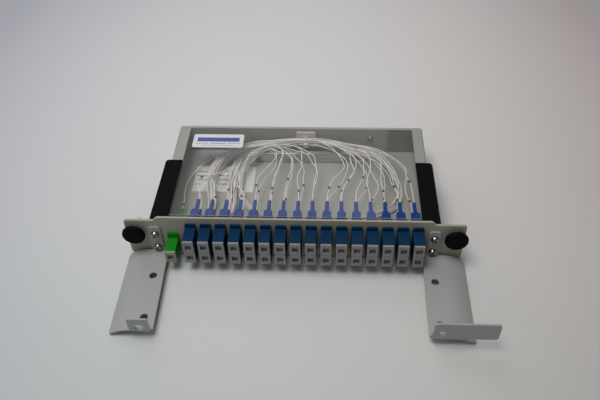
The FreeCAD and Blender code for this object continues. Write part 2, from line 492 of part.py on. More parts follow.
def route(col, row):
    """route points of one output fibre; col 1..16, row 0 upper and 1 lower"""
    xc = X_FIRST + PITCH * (col - 1)
    zb = ZU if row == 0 else ZL
    lane, levels, m, lead, hand = DROPS[col]
    if col <= 4:
        z0 = 13.0 + levels[row] * LANE
        line = beside(SIDE[:m + 1], lane * LANE)[:m]
        pts = [(x, y, z0) for x, y in line]
    else:
        whole = MAIN + LOOP
        z0 = 9.0 + (levels[row] - 2.5) * LANE
        line = beside([p[:2] for p in whole[:m + 1]], (lane - 1.5) * LANE)[:m]
        pts = [(x, y, z0 + q[2]) for (x, y), q in zip(line, whole)]
    z_start = pts[-1][2]
    tail = hand + [(xc, 50.5), (xc, BOOT_END)]
    dist, prev = [0.0], pts[-1]
    for t in tail:
        dist.append(dist[-1] + math.hypot(t[0] - prev[0], t[1] - prev[1]))
        prev = t
    total = dist[-1] - 14.5
    for i, t in enumerate(tail):
        s = min(1.0, max(0.0, (dist[i + 1] - lead) / (total - lead)))
        s = s * s * (3 - 2 * s)
        pts.append((t[0], t[1], z_start + (zb - z_start) * s))
    return pts


def tube(points, d):
    P = [V(*p) for p in points]
    edges, last, length, radii = [], P[0], 0.0, []
    for i in range(1, len(P) - 1):
        u, w = P[i - 1] - P[i], P[i + 1] - P[i]
        lu, lw = u.Length, w.Length
        u.normalize()
        w.normalize()
        turn = math.acos(max(-1, min(1, -u.dot(w))))
        if turn < 1e-4:
            continue
        t = 0.45 * min(lu, lw)
        r = t / math.tan(turn / 2)
        radii.append(r)
        a, b = P[i] + u * t, P[i] + w * t
        bis = u + w
        bis.normalize()
        mid = P[i] + bis * (r / math.cos(turn / 2) - r)
        edges.append(Part.LineSegment(last, a).toShape())
        edges.append(Part.Arc(a, mid, b).toShape())
        length += (a - last).Length + r * turn
        last = b
    edges.append(Part.LineSegment(last, P[-1]).toShape())
    length += (P[-1] - last).Length
    path = Part.Wire(edges)
    t0 = P[1] - P[0]
    t0.normalize()
    prof = Part.Wire([Part.Circle(P[0], t0, d / 2).toShape()])
    s = path.makePipeShell([prof], True, False)
    err = abs(s.Volume / (math.pi * d * d / 4 * length) - 1)
    return s, length, min(radii), err, edges


PATHS = {}


def fibre_group(name, keys):
    sol = []
    for col, row in keys:
        pts = route(col, row)
        s, L, r, err, PATHS[col, row] = tube(pts, FIBRE_D)
        print("%s %d/%d length %.0f radius %.1f volume error %.4f valid %s" % (name, col, row, L, r, err, s.isValid()))
        sol.append(s)
    put(name, Part.makeCompound(sol))


fibre_group("fibres_left_upper", [(c, 0) for c in range(1, 9)])
fibre_group("fibres_left_lower", [(c, 1) for c in range(1, 9)])
fibre_group("fibres_right_upper", [(c, 0) for c in range(9, 17)])
fibre_group("fibres_right_lower", [(c, 1) for c in range(9, 17)])
s, L, r, err, PATHS[0, 0] = tube(INPUT[::-1], FIBRE_D)
print("input length %.0f radius %.1f volume error %.4f" % (L, r, err))
put("input_fibre", s)


# number sleeves on the fibres, clear of the fibre all round: column (0 is the
# input), row, distance along the fibre from its boot
SLEEVES = [
    (1, 0, 37), (1, 1, 50), (2, 1, 16), (3, 0, 14), (4, 0, 5), (4, 1, 28), (5, 0, 19), (5, 1, 24), (6, 0, 16), (6, 1, 23), (7, 0, 27), (7, 1, 14),
    (8, 0, 13), (8, 1, 32), (9, 1, 14), (10, 0, 17), (10, 1, 35), (11, 0, 29), (11, 1, 25), (12, 0, 31), (12, 1, 34), (13, 1, 17), (14, 0, 14),
    (14, 1, 18), (15, 0, 21), (15, 1, 15), (16, 0, 28), (16, 1, 15), (0, 0, 6)]


def marker(edges, dist):
    for e in reversed(edges):
        if dist <= e.Length:
            break
        dist -= e.Length
    par = e.getParameterByLength(e.Length - dist)
    c, d = e.valueAt(par), e.tangentAt(par)
    m = Part.makeCylinder(0.95, 2.4, c - d * 1.2, d)
    return m.cut(Part.makeCylinder(0.62, 4, c - d * 2, d))


put("fibre_markers", Part.makeCompound([marker(PATHS[col, row], dist) for col, row, dist in SLEEVES]))

# -------------------------------------------------------------------- export
lo, hi = V(1e9, 1e9, 1e9), V(-1e9, -1e9, -1e9)
for name, shape in NODES.items():
    shape.translate(ORIGIN)
    bb = shape.BoundBox
    lo = V(min(lo.x, bb.XMin), min(lo.y, bb.YMin), min(lo.z, bb.ZMin))
    hi = V(max(hi.x, bb.XMax), max(hi.y, bb.YMax), max(hi.z, bb.ZMax))
    bad = [i for i, q in enumerate(shape.Solids) if not q.isValid()]
    print("%-26s solids %2d valid %s volume %.1f" % (name, len(shape.Solids), "yes" if not bad else "NO " + str(bad), shape.Volume))
    shape.exportStep("parts/%s.step" % name)
print("nodes", len(NODES), "box", [round(v, 2) for v in (lo.x, lo.y, lo.z, hi.x, hi.y, hi.z)])
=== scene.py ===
import bpy, bmesh, math, random
from mathutils import Vector, Matrix


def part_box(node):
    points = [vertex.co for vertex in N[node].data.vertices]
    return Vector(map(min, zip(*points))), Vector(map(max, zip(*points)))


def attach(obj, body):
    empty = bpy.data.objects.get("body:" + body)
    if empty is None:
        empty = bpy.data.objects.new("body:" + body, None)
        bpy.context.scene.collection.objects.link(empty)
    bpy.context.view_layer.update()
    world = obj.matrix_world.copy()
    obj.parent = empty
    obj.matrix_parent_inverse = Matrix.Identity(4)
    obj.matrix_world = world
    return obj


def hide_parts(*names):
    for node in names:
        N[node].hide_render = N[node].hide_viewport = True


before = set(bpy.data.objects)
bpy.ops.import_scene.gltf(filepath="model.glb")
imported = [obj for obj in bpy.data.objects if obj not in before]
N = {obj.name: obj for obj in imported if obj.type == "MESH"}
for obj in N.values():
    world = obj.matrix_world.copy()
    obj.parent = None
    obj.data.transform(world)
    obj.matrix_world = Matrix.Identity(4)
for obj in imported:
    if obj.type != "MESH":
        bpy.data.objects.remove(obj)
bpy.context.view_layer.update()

ROOT = "drawer"

# work frame of the drawings (mm: X right, Y into the tray, Z up, panel front
# at Y = 0, panel lower edge at Z = 0) to the row frame in metres
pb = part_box("front_panel")
OX, OY, OZ = (pb[0][0] + pb[1][0]) / 2, pb[0][1], pb[0][2]


def W(x, y, z):
    return Vector((x / 1000 + OX, y / 1000 + OY, z / 1000 + OZ))


# -------------------------------------------------------------------- camera
YAW, TILT, ROLL = math.radians(-3.94), math.radians(44.80), math.radians(-1.86)
cam_data = bpy.data.cameras.new("camera")
cam = bpy.data.objects.new("camera", cam_data)
bpy.context.scene.collection.objects.link(cam)
cy, sy, cp, sp = math.cos(YAW), math.sin(YAW), math.cos(TILT), math.sin(TILT)
fwd = Vector((sy * cp, cy * cp, -sp))
right = Vector((cy, -sy, 0))
up = right.cross(fwd)
cr, sr = math.cos(ROLL), math.sin(ROLL)
r2, u2 = right * cr + up * sr, -right * sr + up * cr
loc = W(31.2, -360.2, 425.7)
cam.matrix_world = Matrix(((r2.x, u2.x, -fwd.x, loc.x), (r2.y, u2.y, -fwd.y, loc.y), (r2.z, u2.z, -fwd.z, loc.z), (0, 0, 0, 1)))
cam_data.sensor_fit = "HORIZONTAL"
cam_data.sensor_width = 36.0
cam_data.lens = 642.6 / 600 * 36.0
cam_data.clip_start = 0.01
bpy.context.scene.camera = cam


# ----------------------------------------------------------------- materials
class Mat:
    """small builder for node materials"""

    def __init__(self, name):
        self.m = bpy.data.materials.new(name)
        self.m.use_nodes = True
        self.t = self.m.node_tree
        self.t.nodes.clear()
        self.out = self.t.nodes.new("ShaderNodeOutputMaterial")

    def node(self, kind, **props):
        n = self.t.nodes.new(kind)
        for k, v in props.items():
            setattr(n, k, v)
        return n

    def link(self, a, b):
        self.t.links.new(a, b)

    def math(self, op, a, b=None, c=None):
        n = self.node("ShaderNodeMath", operation=op)
        for i, v in enumerate((a, b, c)):
            if v is None:
                continue
            if isinstance(v, (int, float)):
                n.inputs[i].default_value = v
            else:
                self.link(v, n.inputs[i])
        return n.outputs[0]

    def coords(self):
        return self.node("ShaderNodeTexCoord").outputs["Object"]

    def noise(self, scale, detail=2.0, rough=0.5, vec=None):
        n = self.node("ShaderNodeTexNoise")
        n.inputs["Scale"].default_value = scale
        n.inputs["Detail"].default_value = detail
        n.inputs["Roughness"].default_value = rough
        self.link(vec if vec is not None else self.coords(), n.inputs["Vector"])
        return n.outputs["Fac"]

    def mix(self, fac, a, b):
        n = self.node("ShaderNodeMix", data_type="RGBA")
        for sock, v in ((n.inputs[0], fac), (n.inputs[6], a), (n.inputs[7], b)):
            if isinstance(v, (int, float)):
                sock.default_value = v
            elif isinstance(v, (tuple, list)):
                sock.default_value = (v[0], v[1], v[2], 1.0)
            else:
                self.link(v, sock)
        return n.outputs[2]

    def ramp(self, fac, lo, hi):
        n = self.node("ShaderNodeMapRange")
        n.inputs["From Min"].default_value = lo
        n.inputs["From Max"].default_value = hi
        self.link(fac, n.inputs["Value"])
        return n.outputs["Result"]

    def bsdf(self, color, rough, metal=0.0, spec=0.5, coat=0.0, coat_rough=0.1):
        b = self.node("ShaderNodeBsdfPrincipled")
        b.inputs["Roughness"].default_value = rough
        b.inputs["Metallic"].default_value = metal
        b.inputs["Specular IOR Level"].default_value = spec
        b.inputs["Coat Weight"].default_value = coat
        b.inputs["Coat Roughness"].default_value = coat_rough
        if isinstance(color, (tuple, list)):
            b.inputs["Base Color"].default_value = (color[0], color[1], color[2], 1.0)
        else:
            self.link(color, b.inputs["Base Color"])
        return b

    def bump(self, height, strength, distance):
        n = self.node("ShaderNodeBump")
        n.inputs["Strength"].default_value = strength
        n.inputs["Distance"].default_value = distance
        self.link(height, n.inputs["Height"])
        return n.outputs["Normal"]

    def done(self, shader):
        self.link(shader.outputs[0], self.out.inputs["Surface"])
        return self.m


def tone(c, k):
    return tuple(min(1.0, v * k) for v in c)


def powder(name, color, rough=0.45, speck=0.10, bump=0.25):
    """fine textured powder coat"""
    m = Mat(name)
    fine = m.noise(1500, 2.0, 0.6)
    broad = m.noise(9, 3.0, 0.5)
    col = m.mix(m.ramp(fine, 0.3, 0.7), tone(color, 1 - speck), tone(color, 1 + speck))
    col = m.mix(m.math("MULTIPLY", m.ramp(broad, 0.35, 0.75), 0.25), col, tone(color, 0.88))
    b = m.bsdf(col, rough, spec=0.4)
    m.link(m.bump(fine, bump, 0.00006), b.inputs["Normal"])
    return m.done(b)


def plastic(name, color, rough=0.35, grain=0.05, bump=0.08, scale=900, spec=0.5, coat=0.0):
    m = Mat(name)
    n = m.noise(scale, 2.0, 0.5)
    broad = m.noise(60, 2.0, 0.5)
    col = m.mix(m.ramp(n, 0.3, 0.7), tone(color, 1 - grain), tone(color, 1 + grain))
    col = m.mix(m.math("MULTIPLY", m.ramp(broad, 0.4, 0.7), 0.2), col, tone(color, 0.85))
    b = m.bsdf(col, rough, spec=spec, coat=coat)
    m.link(m.bump(n, bump, 0.00004), b.inputs["Normal"])
    return m.done(b)


def metal(name, color, rough=0.3, scale=(400, 400, 400)):
    m = Mat(name)
    mp = m.node("ShaderNodeMapping")
    mp.inputs["Scale"].default_value = scale
    m.link(m.coords(), mp.inputs["Vector"])
    n = m.noise(1.0, 3.0, 0.6, mp.outputs["Vector"])
    col = m.mix(m.ramp(n, 0.3, 0.7), tone(color, 0.85), tone(color, 1.1))
    b = m.bsdf(col, rough, metal=1.0)
    m.link(m.bump(n, 0.1, 0.00003), b.inputs["Normal"])
    return m.done(b)


TRAY = powder("tray_powder", (0.38, 0.368, 0.343))
PANEL = powder("panel_powder", (0.37, 0.35, 0.29))
BRACKET = powder("bracket_powder", (0.355, 0.37, 0.355))
BLACK = plastic("black_plastic", (0.0035, 0.0035, 0.004), rough=0.65, bump=0.3, scale=1800, spec=0.06)
BLUE = plastic("blue_plastic", (0.004, 0.032, 0.085), rough=0.5, spec=0.06)
GREEN = plastic("green_plastic", (0.006, 0.225, 0.006), rough=0.5, spec=0.12)
GREY = plastic("grey_plastic", (0.25, 0.255, 0.25), rough=0.5, bump=0.15, spec=0.35)
BEIGE = plastic("beige_plug", (0.3, 0.3, 0.255), rough=0.5, bump=0.15, spec=0.35)
# painted light: the recess grey is lighter than the plug's grey so the shaded recess bottoms read brighter
RECESS_PAINTED_LIGHT = plastic("plug_recess_painted_light", (0.36, 0.355, 0.35), rough=0.6, spec=0.2)
CONN = plastic("blue_connector", (0.003, 0.045, 0.245), rough=0.55, spec=0.06)
BOOT = plastic("blue_boot", (0.006, 0.06, 0.3), rough=0.55, spec=0.06)
NATURAL = plastic("natural_plastic", (0.62, 0.61, 0.52), rough=0.45)
WHITE = plastic("white_plastic", (0.62, 0.58, 0.53), rough=0.4)
SLEEVE = plastic("marker_plastic", (0.03, 0.03, 0.035), rough=0.5)
RUBBER = plastic("boot_rubber", (0.22, 0.22, 0.21), rough=0.6)
FOAM = plastic("foam_tape", (0.7, 0.7, 0.68), rough=0.8, bump=0.4)
CERAMIC = plastic("ceramic", (0.85, 0.85, 0.82), rough=0.15)
ZINC = metal("zinc_steel", (0.36, 0.355, 0.34), 0.25)
DULL = metal("dull_zinc", (0.42, 0.41, 0.39), 0.25)
MODULE = metal("module_metal", (0.56, 0.56, 0.52), 0.28, (30, 900, 900))


def jacket_mat(name, color):
    """white jacket that lets some light through"""
    m = Mat(name)
    n = m.noise(900, 2.0, 0.5)
    col = m.mix(m.ramp(n, 0.3, 0.7), tone(color, 0.97), tone(color, 1.03))
    b = m.bsdf(col, 0.35, spec=0.4)
    m.link(m.bump(n, 0.05, 0.00003), b.inputs["Normal"])
    tr = m.node("ShaderNodeBsdfTranslucent")
    m.link(col, tr.inputs["Color"])
    mx = m.node("ShaderNodeMixShader")
    mx.inputs[0].default_value = 0.12
    m.link(b.outputs[0], mx.inputs[1])
    m.link(tr.outputs[0], mx.inputs[2])
    return m.done(mx)


FIBRE = jacket_mat("fibre_white", (0.94, 0.9, 0.87))


def label_mat(name, x0, x1, y0, y1, marks, base=(0.80, 0.80, 0.80)):
    """matt film with plain printed bars and rules; marks: (x0, x1, y0, y1, colour) in mm on the label"""
    m = Mat(name)
    sep = m.node("ShaderNodeSeparateXYZ")
    m.link(m.coords(), sep.inputs[0])
    ox, oy = W(x0, y0, 0).x, W(x0, y0, 0).y
    u = m.math("MULTIPLY", m.math("SUBTRACT", sep.outputs[0], ox), 1000.0)
    v = m.math("MULTIPLY", m.math("SUBTRACT", sep.outputs[1], oy), 1000.0)
    n = m.noise(700, 2.0)
    col = m.mix(m.ramp(n, 0.3, 0.7), tone(base, 0.97), tone(base, 1.03))
    for a, b_, c, d, ink in marks:
        inside = m.math("MULTIPLY", m.math("MULTIPLY", m.math("GREATER_THAN", u, a), m.math("LESS_THAN", u, b_)),
                        m.math("MULTIPLY", m.math("GREATER_THAN", v, c), m.math("LESS_THAN", v, d)))
        col = m.mix(inside, col, ink)
    b = m.bsdf(col, 0.35, spec=0.4)
    return m.done(b)


COVER_LABEL = label_mat("cover_label", -101.8, -53.3, 101.3, 120.9,
                        [(4.0, 44.5, 8.6, 14.6, (0.06, 0.10, 0.34)), (3.0, 15.0, 5.6, 6.3, (0.50, 0.12, 0.12)), (17.0, 31.5, 5.6, 6.6, (0.22, 0.24, 0.40)),
                         (33.5, 45.5, 5.6, 6.3, (0.50, 0.12, 0.12)), (9.0, 39.0, 2.8, 3.6, (0.40, 0.41, 0.46))], base=(0.72, 0.73, 0.76))
INK = (0.24, 0.24, 0.25)
ROWS = [(1.6, 12.4, 27.6), (1.6, 12.8, 21.8), (1.6, 13.4, 15.9), (1.6, 6.4, 9.9), (22.6, 33.6, 28.0), (22.6, 32.0, 22.2), (22.6, 34.4, 16.3), (22.6, 32.8, 10.3)]
FLOOR_LABEL = label_mat("floor_label", -101.0, -42.9, 71.8, 107.5, [(a, b, v - 0.75, v + 0.75, INK) for a, b, v in ROWS], base=(0.72, 0.725, 0.73))

PAINT = {"front_panel": PANEL, "tray": TRAY, "cover_label": COVER_LABEL, "floor_label": FLOOR_LABEL,
         "left_slide_guide": BLACK, "right_slide_guide": BLACK, 
         "bracket_screws": ZINC, "bracket_washers_nuts": ZINC, "rear_wall_screws_nuts": DULL,
         "left_latch_grommet": NATURAL, "right_latch_grommet": NATURAL, "left_latch_plunger": BLACK, "right_latch_plunger": BLACK,
         "green_adapter": GREEN, "dust_plugs_upper": GREY, "dust_plugs_lower": GREY, "green_dust_plug": BEIGE,
         "rear_connectors_upper": CONN, "rear_connectors_lower": CONN, "green_rear_connector": GREEN, "boots_upper": BOOT, "boots_lower": BOOT,
         "green_boot": GREEN, "ferrules": CERAMIC, "alignment_sleeves": CERAMIC, "splitter_module": MODULE, "module_tape": FOAM,
         "module_fanout_boot": RUBBER, "module_input_boot": RUBBER, "tie_base": WHITE, "cable_tie": WHITE, }
for k in range(1, 17):
    PAINT["blue_adapter_%02d" % k] = BLUE

# soft edges for the moulded and folded pieces
EDGE = {"front_panel": 0.25, "tray": 0.2, "green_adapter": 0.25,
        "left_slide_guide": 0.3, "right_slide_guide": 0.3, "splitter_module": 0.2, "tie_base": 0.2, "cable_tie": 0.12,
        "bracket_washers_nuts": 0.1, "module_fanout_boot": 0.2}
for k in range(1, 17):
    EDGE["blue_adapter_%02d" % k] = 0.25
for name, mat in PAINT.items():
    o = N[name]
    o.data.materials.clear()
    o.data.materials.append(mat)
    if name in EDGE:
        w = o.modifiers.new("weld", "WELD")
        w.merge_threshold = 1e-6
        b = o.modifiers.new("bevel", "BEVEL")
        b.width = EDGE[name] / 1000
        b.segments = 2
        b.limit_method = "ANGLE"
        b.angle_limit = math.radians(50)
        b.use_clamp_overlap = True



# the bottom of each dust plug's recess, 3 mm behind its face, gets a lighter grey than the plug: painted light that
# brightens the shaded recess
for name in ("dust_plugs_upper", "dust_plugs_lower", "green_dust_plug"):
    o = N[name]
    o.data.materials.append(RECESS_PAINTED_LIGHT)
    y_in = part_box(name)[0][1] + 0.003
    for f in o.data.polygons:
        if all(abs((o.matrix_world @ o.data.vertices[v].co).y - y_in) < 2e-5 for v in f.vertices):
            f.material_index = 1

# ------------------------------------------------------------------ brackets
def welded(node):
    """a copy of a CAD node with its seams closed"""
    bm = bmesh.new()
    bm.from_mesh(N[node].data)
    bmesh.ops.remove_doubles(bm, verts=bm.verts, dist=2e-6)
    me = bpy.data.meshes.new(node + "_welded")
    bm.to_mesh(me)
    bm.free()
    o = bpy.data.objects.new(node + "_welded", me)
    bpy.context.scene.collection.objects.link(o)
    return o


def one_sheet(side):
    """the bracket's flange, plate and tab are one bent sheet"""
    parts = [side + "_bracket_" + p for p in ("plate", "flange", "tab")]
    base, others = welded(parts[0]), [welded(p) for p in parts[1:]]
    for q in others:
        m = base.modifiers.new("join", "BOOLEAN")
        m.operation = "UNION"
        m.solver = "EXACT"
        m.object = q
    dg = bpy.context.evaluated_depsgraph_get()
    me = bpy.data.meshes.new_from_object(base.evaluated_get(dg))
    for q in others + [base]:
        bpy.data.objects.remove(q)
    bm = bmesh.new()
    bm.from_mesh(me)
    bmesh.ops.remove_doubles(bm, verts=bm.verts, dist=5e-6)
    bmesh.ops.dissolve_limit(bm, angle_limit=math.radians(1.0), verts=bm.verts, edges=bm.edges)
    bm.to_mesh(me)
    bm.free()
    for p in me.polygons:
        p.use_smooth = True
        p.material_index = 0
    me.materials.clear()
    me.materials.append(BRACKET)
    me.set_sharp_from_angle(angle=math.radians(35))
    o = bpy.data.objects.new(side + "_bracket_sheet", me)
    bpy.context.scene.collection.objects.link(o)
    b = o.modifiers.new("bevel", "BEVEL")
    b.width = 0.00022
    b.segments = 2
    b.limit_method = "ANGLE"
    b.angle_limit = math.radians(50)
    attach(o, ROOT)
    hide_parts(*parts)
    return o


bpy.context.view_layer.update()
for side in ("left", "right"):
    one_sheet(side)

# --------------------------------------------------------------------- cover
def mesh_object(name, verts, faces, mats, face_mats=None, smooth=False):
    me = bpy.data.meshes.new(name)
    me.from_pydata([tuple(v) for v in verts], [], faces)
    me.update()
    for m in mats:
        me.materials.append(m)
    if face_mats:
        for p, i in zip(me.polygons, face_mats):
            p.material_index = i
    if smooth:
        for p in me.polygons:
            p.use_smooth = True
    o = bpy.data.objects.new(name, me)
    bpy.context.scene.collection.objects.link(o)
    return o


def clear_face():
    m = Mat("clear_face")
    tr = m.node("ShaderNodeBsdfTransparent")
    tr.inputs["Color"].default_value = (0.98, 0.985, 0.98, 1)
    gl = m.node("ShaderNodeBsdfGlossy")
    gl.inputs["Color"].default_value = (1, 1, 1, 1)
    gl.inputs["Roughness"].default_value = 0.06
    mx = m.node("ShaderNodeMixShader")
    mx.inputs[0].default_value = 0.03
    m.link(tr.outputs[0], mx.inputs[1])
    m.link(gl.outputs[0], mx.inputs[2])
    return m.done(mx)


def clear_edge():
    m = Mat("clear_edge")
    tr = m.node("ShaderNodeBsdfTransparent")
    tr.inputs["Color"].default_value = (0.8, 0.86, 0.84, 1)
    b = m.bsdf((0.72, 0.76, 0.74), 0.2, spec=0.6)
    mx = m.node("ShaderNodeMixShader")
    mx.inputs[0].default_value = 0.6
    m.link(tr.outputs[0], mx.inputs[1])
    m.link(b.outputs[0], mx.inputs[2])
    return m.done(mx)


(c0, c1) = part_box("clear_cover")
r, steps = 0.0015, 5
ring = []
for cx, cyy, a0 in ((c1[0] - r, c1[1] - r, 0), (c0[0] + r, c1[1] - r, 90), (c0[0] + r, c0[1] + r, 180), (c1[0] - r, c0[1] + r, 270)):
    for i in range(steps + 1):
        a = math.radians(a0 + 90 * i / steps)
        ring.append((cx + r * math.cos(a), cyy + r * math.sin(a), math.cos(a), math.sin(a)))
ch = 0.00018
levels = [(c0[2], ch), (c0[2] + ch, 0), (c1[2] - ch, 0), (c1[2], ch)]
verts, faces, fm = [], [], []
for z, inset in levels:
    for x, y, nx, ny in ring:
        verts.append((x - nx * inset, y - ny * inset, z))
n = len(ring)
for l in range(3):
    for i in range(n):
        j = (i + 1) % n
        faces.append((l * n + i, l * n + j, (l + 1) * n + j, (l + 1) * n + i))
        fm.append(1)
faces.append(tuple(range(n - 1, -1, -1)))
fm.append(0)
faces.append(tuple(range(3 * n, 4 * n)))
fm.append(0)
cover = mesh_object("cover_sheet", verts, faces, [clear_face(), clear_edge()], fm)
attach(cover, ROOT)
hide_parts("clear_cover")

# -------------------------------------------------------------------- fibres
LANE, PITCH, X_FIRST, ZU, ZL, BOOT_END, X_GREEN = 1.12, 12.6, -85.95, 27.7, 15.0, 38.0, -102.4
MOD_X0, MOD_X1, MOD_BOOT = -38.5, 40.5, 6.0
X_EXIT = MOD_X0 - MOD_BOOT
# centre line of the main bundle: out of the module's left end, down the left
# of the tray, a turn under the front connectors, up again and back along the
# rear wall, through the tie, to the right
MAIN = [(X_EXIT, 117.0, 0), (-50.4, 117.0, 0), (-56.0, 113.0, 0), (-59.0, 105.0, 0), (-60.6, 94.5, 0), (-61.2, 83.0, 0), (-61.0, 71.5, 0),
        (-60.0, 60.5, 0), (-58.8, 50.0, 0), (-58.6, 39.8, 0), (-62.6, 30.8, 0), (-70.6, 28.2, 0), (-77.4, 33.8, 0), (-78.2, 43.6, 0),
        (-77.8, 54.6, 0), (-80.0, 66.6, 0.2), (-82.8, 78.6, 0.8), (-83.2, 90.8, 2.2), (-79.0, 102.2, 4.2), (-71.2, 111.4, 6.4),
        (-61.0, 118.6, 8.4), (-49.4, 123.4, 10.2), (-36.6, 126.2, 11.4), (-22.4, 127.2, 12.0), (-8.0, 127.5, 12.1), (5.3, 127.3, 12.1),
        (19.5, 127.0, 12.1), (33.5, 125.0, 12.1), (47.0, 121.2, 11.6), (60.4, 116.0, 10.6)]
# the outer strands go on round the right, under the front connectors and up
# the left again, to end as the fan in front of the module
LOOP = [(72.4, 109.6, 8.6), (82.2, 100.2, 6.2), (88.4, 88.6, 3.6), (91.0, 75.8, 1.4), (90.4, 63.0, 0.2), (85.0, 52.2, 0), (76.0, 43.4, 0),
        (64.6, 37.0, 0), (51.4, 33.0, 0), (37.4, 31.0, 0), (23.4, 31.2, 0), (9.4, 30.6, 0), (-4.6, 31.2, 0), (-18.4, 33.2, 0), (-31.0, 38.0, 0),
        (-41.4, 46.2, 0), (-48.6, 57.2, 0.8), (-52.4, 69.8, 2.4), (-53.4, 82.6, 4.6), (-51.4, 95.0, 7.0), (-46.0, 105.8, 9.4), (-37.4, 113.6, 11.4),
        (-27.0, 118.0, 12.4), (-16.0, 118.8, 12.8), (-5.2, 117.6, 12.8)]
# left half, leaving the same end above the main bundle
SIDE = [(X_EXIT, 117.0), (-50.4, 117.0), (-56.0, 113.0), (-59.0, 105.0), (-60.6, 94.5), (-61.2, 83.0), (-61.0, 71.5)]
# column: (lane from the inner side, levels of its upper and lower strand, points shared with the line, lead, its own points)
DROPS = {
    1: (-1.5, (1, 0), 4, 6.0, [(-62.8, 95.8), (-69.0, 87.4), (-76.8, 79.6), (-83.0, 70.0), (-85.6, 59.4)]),
    2: (-0.5, (1, 0), 5, 8.0, [(-64.2, 84.6), (-69.4, 74.4), (-72.6, 63.0)]),
    3: (0.5, (1, 0), 6, 8.0, [(-62.2, 72.6), (-60.4, 62.0)]),
    4: (1.5, (1, 0), 6, 8.0, [(-57.6, 73.0), (-52.6, 62.4)]),
    5: (2, (5, 0), 52, 10.0, [(-28.8, 115.7), (-22.8, 109.4), (-24.4, 100.4), (-29.4, 90.0), (-33.6, 78.0), (-35.4, 65.0)]),
    6: (2, (4, 1), 53, 10.0, [(-18.6, 116.6), (-13.4, 109.0), (-14.0, 99.0), (-17.6, 87.8), (-21.4, 76.6), (-23.1, 64.6)]),
    7: (2, (3, 2), 53, 10.0, [(-17.2, 117.6), (-9.4, 112.4), (-5.8, 103.0), (-6.4, 91.6), (-9.0, 79.0), (-10.4, 65.2)]),
    8: (3, (3, 0), 54, 10.0, [(-6.4, 117.2), (0.6, 111.0), (4.0, 101.2), (4.4, 89.6), (3.2, 77.4), (2.5, 65.2)]),
    9: (3, (2, 1), 54, 10.0, [(-4.4, 118.6), (5.4, 113.8), (11.6, 104.6), (14.8, 93.0), (15.8, 80.2), (15.3, 66.4)]),
    10: (0, (5, 0), 26, 12.0, [(17.0, 124.6), (27.6, 120.4), (36.4, 113.6), (43.0, 104.6), (44.6, 94.2), (40.4, 82.2), (33.4, 70.4), (28.8, 60.2)]),
    11: (0, (4, 1), 27, 12.0, [(31.0, 122.0), (41.6, 115.8), (49.8, 106.8), (53.8, 95.8), (53.2, 83.4), (47.2, 70.4), (42.0, 59.8)]),
    12: (0, (3, 2), 27, 12.0, [(34.8, 122.6), (46.4, 117.0), (55.6, 108.0), (60.8, 96.6), (61.8, 83.2), (58.4, 69.8), (54.2, 59.6)]),
    13: (1, (5, 0), 28, 12.0, [(46.4, 118.2), (57.0, 110.8), (65.2, 100.6), (69.4, 88.6), (69.8, 76.0), (67.2, 63.2)]),
    14: (1, (4, 1), 28, 12.0, [(49.2, 118.5), (61.0, 111.8), (71.2, 102.2), (77.0, 89.8), (79.0, 76.6), (78.6, 63.6)]),
    15: (1, (3, 2), 29, 12.0, [(60.8, 114.0), (71.8, 106.0), (80.2, 95.4), (85.8, 83.0), (89.0, 70.4), (90.4, 60.0)]),
    16: (3, (5, 4), 30, 12.0, [(72.8, 112.6), (83.6, 106.0), (92.2, 96.4), (98.2, 84.6), (101.6, 72.4), (102.9, 61.2)])}
INPUT = [(X_GREEN, BOOT_END, ZL), (X_GREEN, 50.0, ZL), (-105.0, 63.0, 13.2), (-105.6, 77.0, 11.2), (-102.6, 91.0, 9.4),
         (-97.4, 104.0, 8.4), (-89.0, 115.0, 8.0), (-77.0, 122.4, 7.6), (-62.0, 126.6, 7.2), (-45.0, 127.8, 7.0), (-27.0, 127.2, 7.2), (-9.0, 127.6, 7.0),
         (9.0, 127.0, 7.2), (26.0, 127.4, 7.6), (41.0, 126.8, 8.2), (50.5, 127.2, 8.8), (59.4, 124.8, 9.4), (63.8, 118.4, 9.8), (60.6, 112.2, 9.9), (53.6, 112.4, 9.9), (MOD_X1 + MOD_BOOT, 117.0, 9.9)]


def beside(pts, d):
    """the same line seen from above, moved to its left-hand side by d"""
    out = []
    for i, p in enumerate(pts):
        dirs = []
        for a, b in ((i - 1, i), (i, i + 1)):
            if a >= 0 and b < len(pts):
                L = math.hypot(pts[b][0] - pts[a][0], pts[b][1] - pts[a][1])
                dirs.append(((pts[b][0] - pts[a][0]) / L, (pts[b][1] - pts[a][1]) / L))
        if len(dirs) == 1:
            nx, ny, k = -dirs[0][1], dirs[0][0], 1.0
        else:
            nx, ny = -(dirs[0][1] + dirs[1][1]), dirs[0][0] + dirs[1][0]
            L = math.hypot(nx, ny)
            nx, ny = nx / L, ny / L
            k = 1 / (nx * -dirs[0][1] + ny * dirs[0][0])
        out.append((p[0] + nx * d * k, p[1] + ny * d * k))
    return out


def route(col, row):
    """route points of one output fibre; col 1..16, row 0 upper and 1 lower"""
    xc = X_FIRST + PITCH * (col - 1)
    zb = ZU if row == 0 else ZL
    lane, levels, m, lead, hand = DROPS[col]
    if col <= 4:
        z0 = 13.0 + levels[row] * LANE
        line = beside(SIDE[:m + 1], lane * LANE)[:m]
        pts = [(x, y, z0) for x, y in line]
    else:
        whole = MAIN + LOOP
        z0 = 9.0 + (levels[row] - 2.5) * LANE
        line = beside([p[:2] for p in whole[:m + 1]], (lane - 1.5) * LANE)[:m]
        pts = [(x, y, z0 + q[2]) for (x, y), q in zip(line, whole)]
    z_start = pts[-1][2]
    tail = hand + [(xc, 50.5), (xc, BOOT_END)]
    dist, prev = [0.0], pts[-1]
    for t in tail:
        dist.append(dist[-1] + math.hypot(t[0] - prev[0], t[1] - prev[1]))
        prev = t
    total = dist[-1] - 14.5
    for i, t in enumerate(tail):
        s = min(1.0, max(0.0, (dist[i + 1] - lead) / (total - lead)))
        s = s * s * (3 - 2 * s)
        pts.append((t[0], t[1], z_start + (zb - z_start) * s))
    return pts


WHOLE = MAIN + LOOP


